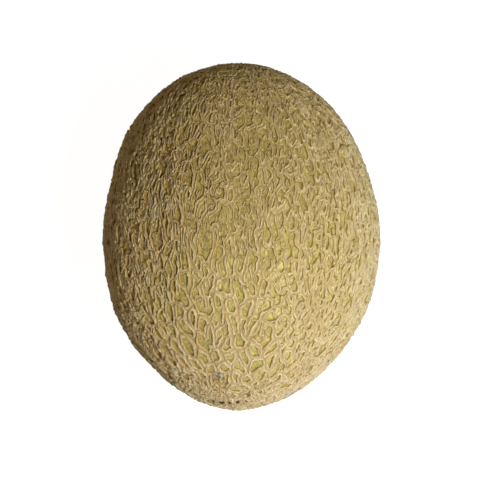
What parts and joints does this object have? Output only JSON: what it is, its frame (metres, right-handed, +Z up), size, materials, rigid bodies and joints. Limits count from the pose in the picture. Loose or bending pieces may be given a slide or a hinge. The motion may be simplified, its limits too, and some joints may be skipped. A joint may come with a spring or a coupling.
{
  "type": "cantaloupe melon",
  "caption": "Whole netted cantaloupe melon lying on its side: a slightly long, round fruit with a raised corky net over a yellow-green rind.",
  "frame": {"origin": "centre of the bounding box at the resting plane", "axes": "+Z up from the resting plane, +Y along the axis of the fruit towards the stem end, -Y towards the blossom end"},
  "size_m": [0.1408, 0.1788, 0.1384],
  "materials": {
    "netted_rind": "matt melon rind: straw-coloured cork net over yellow-green skin, seen as one colour",
    "net_cork": "dry matt cork of the raised net, pale tan",
    "green_rind": "smooth satin skin between the threads of the net, yellow-green to olive"
  },
  "bodies": {
    "root": {"melon": "netted_rind"}
  },
  "joints": []
}
